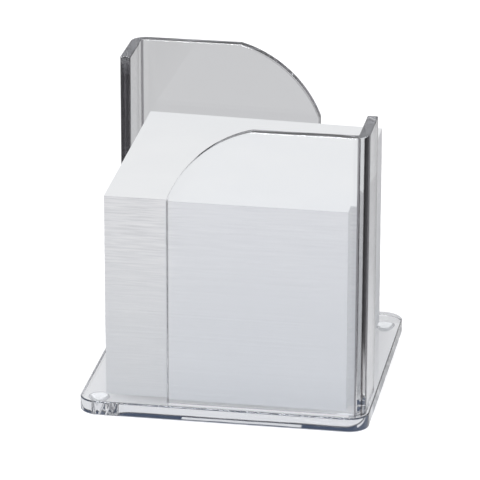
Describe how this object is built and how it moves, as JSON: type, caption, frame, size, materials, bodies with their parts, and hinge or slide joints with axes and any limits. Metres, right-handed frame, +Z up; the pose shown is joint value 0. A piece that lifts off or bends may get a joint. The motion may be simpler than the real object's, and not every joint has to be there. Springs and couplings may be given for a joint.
{
  "type": "memo sheet holder",
  "caption": "Clear square holder for loose memo sheets: a plate on bumper feet with two bent guards round opposite corners and a stack of white sheets that lifts out.",
  "frame": {"origin": "middle of the square footprint, on the surface that the feet stand on", "axes": "+X to the right along the front, +Y from front to back, +Z up"},
  "size_m": [0.108, 0.108, 0.1156],
  "materials": {
    "clear_acrylic": "clear, polished faces and edges",
    "clear_bumper": "clear soft polyurethane, glossy",
    "white_paper": "uncoated, matte, clean-cut edges"
  },
  "bodies": {
    "holder": {"base_plate": "clear_acrylic", "front_guard": "clear_acrylic", "back_guard": "clear_acrylic", "foot_front_left": "clear_bumper", "foot_front_right": "clear_bumper", "foot_back_left": "clear_bumper", "foot_back_right": "clear_bumper"},
    "sheet_stack": {"sheet_bundle_01": "white_paper", "sheet_bundle_02": "white_paper", "sheet_bundle_03": "white_paper", "sheet_bundle_04": "white_paper", "sheet_bundle_05": "white_paper", "sheet_bundle_06": "white_paper", "sheet_bundle_07": "white_paper", "sheet_bundle_08": "white_paper", "sheet_bundle_09": "white_paper", "sheet_bundle_10": "white_paper"},
    "third_sheet": {"third_sheet": "white_paper"},
    "second_sheet": {"second_sheet": "white_paper"},
    "top_sheet": {"top_sheet": "white_paper"}
  },
  "joints": [
    {"name": "sheet_stack_lift", "type": "slide", "parent": "holder", "child": "sheet_stack", "axis": [0, 0, 1], "range_m": [0, 0.12]},
    {"name": "third_sheet_lift", "type": "slide", "parent": "sheet_stack", "child": "third_sheet", "axis": [0, 0, 1], "range_m": [0, 0.04]},
    {"name": "second_sheet_lift", "type": "slide", "parent": "third_sheet", "child": "second_sheet", "axis": [0, 0, 1], "range_m": [0, 0.04]},
    {"name": "top_sheet_lift", "type": "slide", "parent": "second_sheet", "child": "top_sheet", "axis": [0, 0, 1], "range_m": [0, 0.04]}
  ]
}
